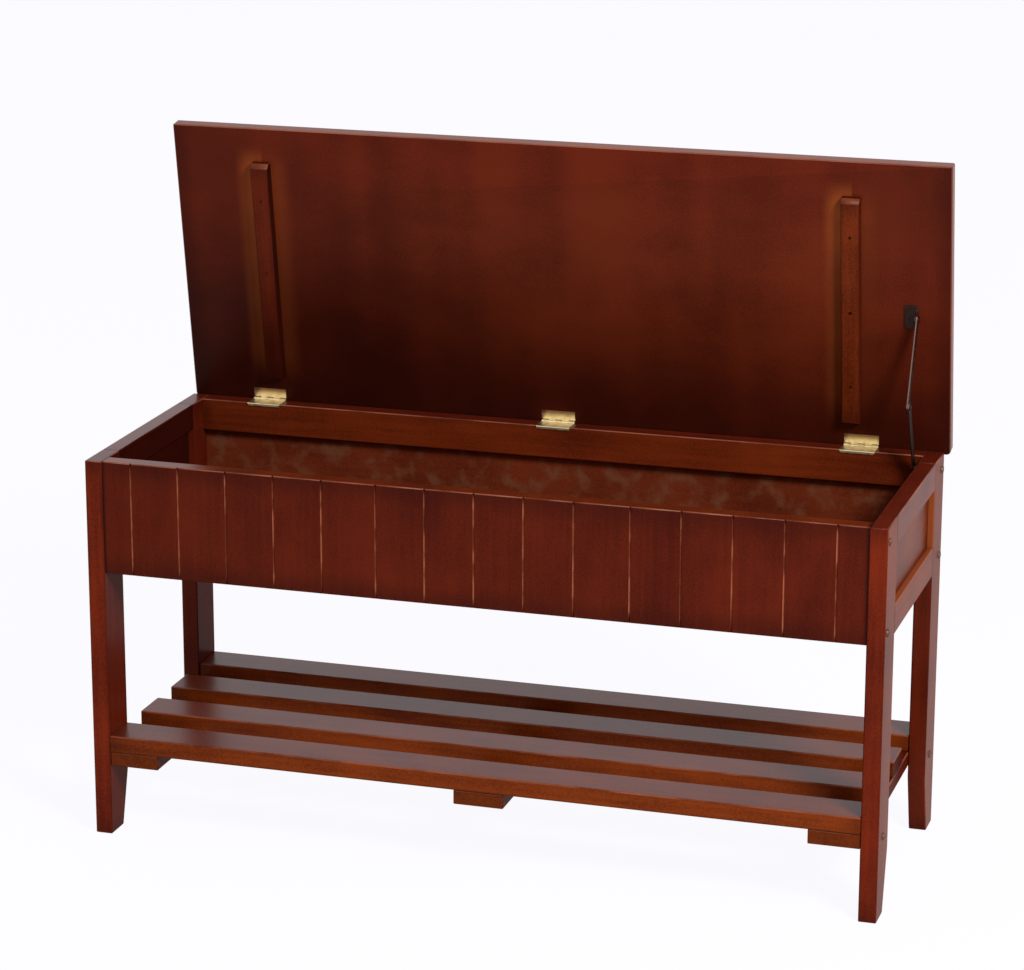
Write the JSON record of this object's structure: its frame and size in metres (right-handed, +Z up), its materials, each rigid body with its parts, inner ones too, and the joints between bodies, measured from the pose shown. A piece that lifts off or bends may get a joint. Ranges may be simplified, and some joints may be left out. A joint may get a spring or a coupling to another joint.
{
  "type": "shoe storage bench",
  "caption": "Wooden storage bench with a hinged seat lid on a folding stay, framed ends, grooved front panel and a slatted shoe shelf below.",
  "frame": {"origin": "on the floor, under the middle of the bench with its lid open", "axes": "+X to the right seen from the front, the front faces -Y, +Z up"},
  "size_m": [0.9161, 0.3398, 0.7783],
  "materials": {
    "stained_wood": "satin lacquer over mahogany stain",
    "stained_plywood": "mottled brown stain, thin lacquer",
    "brass": "polished",
    "stay_steel": "dark bronzed steel",
    "bolt_steel": "bronzed",
    "zinc_screws": "zinc plated"
  },
  "bodies": {
    "root": {"back_bottom_rail": "stained_wood", "back_panel": "stained_plywood", "back_top_rail": "stained_wood", "barrel_nuts": "bolt_steel", "box_bottom": "stained_plywood", "cross_member_left": "stained_wood", "cross_member_middle": "stained_wood", "cross_member_right": "stained_wood", "end_bottom_rail_left": "stained_wood", "end_bottom_rail_right": "stained_wood", "end_panel_left": "stained_wood", "end_panel_right": "stained_wood", "end_top_rail_left": "stained_wood", "end_top_rail_right": "stained_wood", "front_panel": "stained_wood", "hinge_box_leaf_left": "brass", "hinge_box_leaf_middle": "brass", "hinge_box_leaf_right": "brass", "hinge_box_screws": "brass", "hinge_pin_left": "brass", "hinge_pin_middle": "brass", "hinge_pin_right": "brass", "leg_bolts": "bolt_steel", "leg_front_left": "stained_wood", "leg_front_right": "stained_wood", "leg_rear_left": "stained_wood", "leg_rear_right": "stained_wood", "shelf_slat_1": "stained_wood", "shelf_slat_2": "stained_wood", "shelf_slat_3": "stained_wood", "shelf_slat_4": "stained_wood", "slat_screws": "zinc_screws", "stay_box_bracket": "stay_steel", "stay_box_screws": "stay_steel", "stay_box_stud": "stay_steel"},
    "lid": {"batten_screws": "bolt_steel", "hinge_lid_leaf_left": "brass", "hinge_lid_leaf_middle": "brass", "hinge_lid_leaf_right": "brass", "hinge_lid_screws": "brass", "lid_batten_left": "stained_wood", "lid_batten_right": "stained_wood", "lid_panel": "stained_wood", "stay_lid_bracket": "stay_steel", "stay_lid_rivet": "stay_steel", "stay_lid_screws": "stay_steel"},
    "upper_link": {"stay_upper_link": "stay_steel", "stay_elbow_rivet_inner": "stay_steel"},
    "lower_link": {"stay_lower_link": "stay_steel", "stay_elbow_rivet_outer": "stay_steel"}
  },
  "joints": [
    {"name": "lid_hinge", "type": "hinge", "parent": "root", "child": "lid", "pos_m": [0, 0.153, 0.441], "axis": [1, 0, 0], "range_deg": [0, 81]},
    {"name": "stay_box_pivot", "type": "hinge", "parent": "root", "child": "lower_link", "pos_m": [0.4257, 0.119, 0.43], "axis": [1, 0, 0], "range_deg": [0, 112.69]},
    {"name": "stay_lid_pivot", "type": "hinge", "parent": "lid", "child": "upper_link", "pos_m": [0.424, 0.12049, 0.59957], "axis": [1, 0, 0], "range_deg": [-12.26, 0]}
  ],
  "couplings": [
    {"joint": "stay_box_pivot", "follows": "lid_hinge", "ratio": 1.3907},
    {"joint": "stay_lid_pivot", "follows": "lid_hinge", "ratio": -0.15071}
  ]
}
